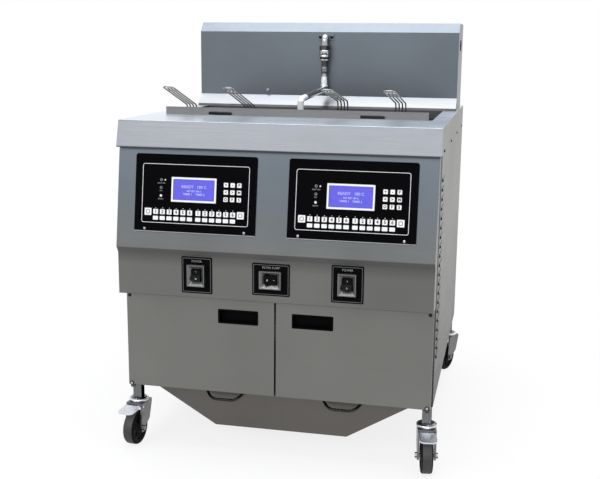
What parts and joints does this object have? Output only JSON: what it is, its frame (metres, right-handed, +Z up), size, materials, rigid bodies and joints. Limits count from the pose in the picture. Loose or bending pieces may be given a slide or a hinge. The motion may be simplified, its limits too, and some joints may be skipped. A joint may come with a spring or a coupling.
{
  "type": "electric deep fryer",
  "caption": "Floor-standing electric fryer: steel cabinet on casters with fry vats, wire baskets, control panels, doors, a slide-out filter pan and an oil return spout.",
  "frame": {"origin": "on the floor, below the middle of the cabinet", "axes": "+Z up, front faces -Y, +X to the right seen from the front"},
  "size_m": [0.9206, 1.052, 1.23],
  "materials": {
    "steel_sheet": "fine brushed",
    "vat_steel": "satin",
    "frame_steel": "satin",
    "basket_wire": "wire, worn bright",
    "fitting_steel": "polished",
    "zinc": "zinc plated",
    "tread": "dark rubber",
    "black_plastic": "matt black",
    "overlay_film": "satin film",
    "display_glass": "lit blue",
    "cast_grey": "painted grey",
    "motor_paint": "satin paint",
    "grip_red": "dipped vinyl"
  },
  "bodies": {
    "cabinet": {"left_side_panel": "steel_sheet", "right_side_panel": "steel_sheet", "back_panel": "steel_sheet", "worktop_deck": "steel_sheet", "splash_guard": "steel_sheet", "rear_cove": "steel_sheet", "backsplash": "steel_sheet", "rear_cover": "steel_sheet", "control_console": "steel_sheet", "electrical_box": "steel_sheet", "left_vat": "vat_steel", "right_vat": "vat_steel", "temperature_probes": "vat_steel", "heaters": "vat_steel", "frame": "frame_steel", "pan_rails": "frame_steel", "door_hinges": "frame_steel", "faucet_elbow": "fitting_steel", "oil_pipes": "fitting_steel", "panel_screws": "fitting_steel", "switch_housings": "fitting_steel", "switch_plates": "black_plastic", "cable_gland": "black_plastic", "control_overlays": "overlay_film", "displays": "display_glass", "filter_pump": "cast_grey", "drain_valves": "cast_grey", "pump_motor": "motor_paint"},
    "left_door": {"left_door": "steel_sheet", "left_door_pull": "black_plastic"},
    "right_door": {"right_door": "steel_sheet", "right_door_pull": "black_plastic"},
    "left_power_rocker": {"left_power_rocker": "black_plastic"},
    "pump_rocker": {"pump_rocker": "black_plastic"},
    "right_power_rocker": {"right_power_rocker": "black_plastic"},
    "oil_spout": {"oil_spout": "fitting_steel"},
    "filter_pan": {"filter_pan": "vat_steel", "pan_handles": "basket_wire", "filter_screen": "vat_steel", "pickup_pipe": "fitting_steel"},
    "left_drain_lever": {"left_drain_lever": "grip_red"},
    "right_drain_lever": {"right_drain_lever": "grip_red"},
    "basket_1": {"basket_1": "basket_wire", "basket_1_handle": "basket_wire"},
    "basket_2": {"basket_2": "basket_wire", "basket_2_handle": "basket_wire"},
    "basket_3": {"basket_3": "basket_wire", "basket_3_handle": "basket_wire"},
    "basket_4": {"basket_4": "basket_wire", "basket_4_handle": "basket_wire"},
    "front_left_fork": {"front_left_fork": "zinc"},
    "front_left_wheel": {"front_left_wheel": "tread"},
    "front_right_fork": {"front_right_fork": "zinc"},
    "front_right_wheel": {"front_right_wheel": "tread"},
    "rear_left_fork": {"rear_left_fork": "zinc"},
    "rear_left_wheel": {"rear_left_wheel": "tread"},
    "rear_right_fork": {"rear_right_fork": "zinc"},
    "rear_right_wheel": {"rear_right_wheel": "tread"},
    "front_left_pedal": {"front_left_pedal": "zinc"},
    "front_right_pedal": {"front_right_pedal": "zinc"}
  },
  "joints": [
    {"name": "left_door_hinge", "type": "hinge", "parent": "cabinet", "child": "left_door", "pos_m": [-0.427, -0.454, 0.323], "axis": [0, 0, -1], "range_deg": [0, 110]},
    {"name": "right_door_hinge", "type": "hinge", "parent": "cabinet", "child": "right_door", "pos_m": [0.427, -0.454, 0.323], "axis": [0, 0, 1], "range_deg": [0, 110]},
    {"name": "left_power_switch", "type": "hinge", "parent": "cabinet", "child": "left_power_rocker", "pos_m": [-0.209, -0.514, 0.5385], "axis": [-1, 0, 0], "range_deg": [0, 20]},
    {"name": "pump_switch", "type": "hinge", "parent": "cabinet", "child": "pump_rocker", "pos_m": [0, -0.514, 0.5385], "axis": [0, 0, 1], "range_deg": [0, 20]},
    {"name": "right_power_switch", "type": "hinge", "parent": "cabinet", "child": "right_power_rocker", "pos_m": [0.209, -0.514, 0.5385], "axis": [-1, 0, 0], "range_deg": [0, 20]},
    {"name": "spout_swivel", "type": "hinge", "parent": "cabinet", "child": "oil_spout", "pos_m": [0, 0.199, 1.08], "axis": [0, 0, 1], "range_deg": [-35, 60]},
    {"name": "basket_1_lift", "type": "slide", "parent": "cabinet", "child": "basket_1", "axis": [0, 0, 1], "range_m": [0, 0.33]},
    {"name": "basket_2_lift", "type": "slide", "parent": "cabinet", "child": "basket_2", "axis": [0, 0, 1], "range_m": [0, 0.33]},
    {"name": "basket_3_lift", "type": "slide", "parent": "cabinet", "child": "basket_3", "axis": [0, 0, 1], "range_m": [0, 0.33]},
    {"name": "basket_4_lift", "type": "slide", "parent": "cabinet", "child": "basket_4", "axis": [0, 0, 1], "range_m": [0, 0.33]},
    {"name": "filter_pan_slide", "type": "slide", "parent": "cabinet", "child": "filter_pan", "axis": [0, -1, 0], "range_m": [0, 0.5]},
    {"name": "left_drain_turn", "type": "hinge", "parent": "cabinet", "child": "left_drain_lever", "pos_m": [-0.21, -0.195, 0.38], "axis": [0, 1, 0], "range_deg": [0, 90]},
    {"name": "right_drain_turn", "type": "hinge", "parent": "cabinet", "child": "right_drain_lever", "pos_m": [0.21, -0.195, 0.38], "axis": [0, 1, 0], "range_deg": [0, 90]},
    {"name": "front_left_swivel", "type": "hinge", "parent": "cabinet", "child": "front_left_fork", "pos_m": [-0.424, -0.421, 0.13], "axis": [0, 0, 1], "continuous": true},
    {"name": "front_left_roll", "type": "hinge", "parent": "front_left_fork", "child": "front_left_wheel", "pos_m": [-0.42682, -0.44785, 0.05], "axis": [0.9945, -0.1045, 0], "continuous": true},
    {"name": "front_left_brake", "type": "hinge", "parent": "front_left_fork", "child": "front_left_pedal", "pos_m": [-0.4264, -0.44387, 0.113], "axis": [0.9945, -0.1045, 0], "range_deg": [0, 10]},
    {"name": "front_right_swivel", "type": "hinge", "parent": "cabinet", "child": "front_right_fork", "pos_m": [0.424, -0.421, 0.13], "axis": [0, 0, 1], "continuous": true},
    {"name": "front_right_roll", "type": "hinge", "parent": "front_right_fork", "child": "front_right_wheel", "pos_m": [0.42822, -0.44767, 0.05], "axis": [0.9877, 0.1564, 0], "continuous": true},
    {"name": "front_right_brake", "type": "hinge", "parent": "front_right_fork", "child": "front_right_pedal", "pos_m": [0.4276, -0.44372, 0.113], "axis": [0.9877, 0.1564, 0], "range_deg": [0, 10]},
    {"name": "rear_left_swivel", "type": "hinge", "parent": "cabinet", "child": "rear_left_fork", "pos_m": [-0.424, 0.465, 0.13], "axis": [0, 0, 1], "continuous": true},
    {"name": "rear_left_roll", "type": "hinge", "parent": "rear_left_fork", "child": "rear_left_wheel", "pos_m": [-0.42071, 0.4382, 0.05], "axis": [0.9925, 0.1219, 0], "continuous": true},
    {"name": "rear_right_swivel", "type": "hinge", "parent": "cabinet", "child": "rear_right_fork", "pos_m": [0.424, 0.465, 0.13], "axis": [0, 0, 1], "continuous": true},
    {"name": "rear_right_roll", "type": "hinge", "parent": "rear_right_fork", "child": "rear_right_wheel", "pos_m": [0.41174, 0.44094, 0.05], "axis": [0.891, -0.454, 0], "continuous": true}
  ]
}
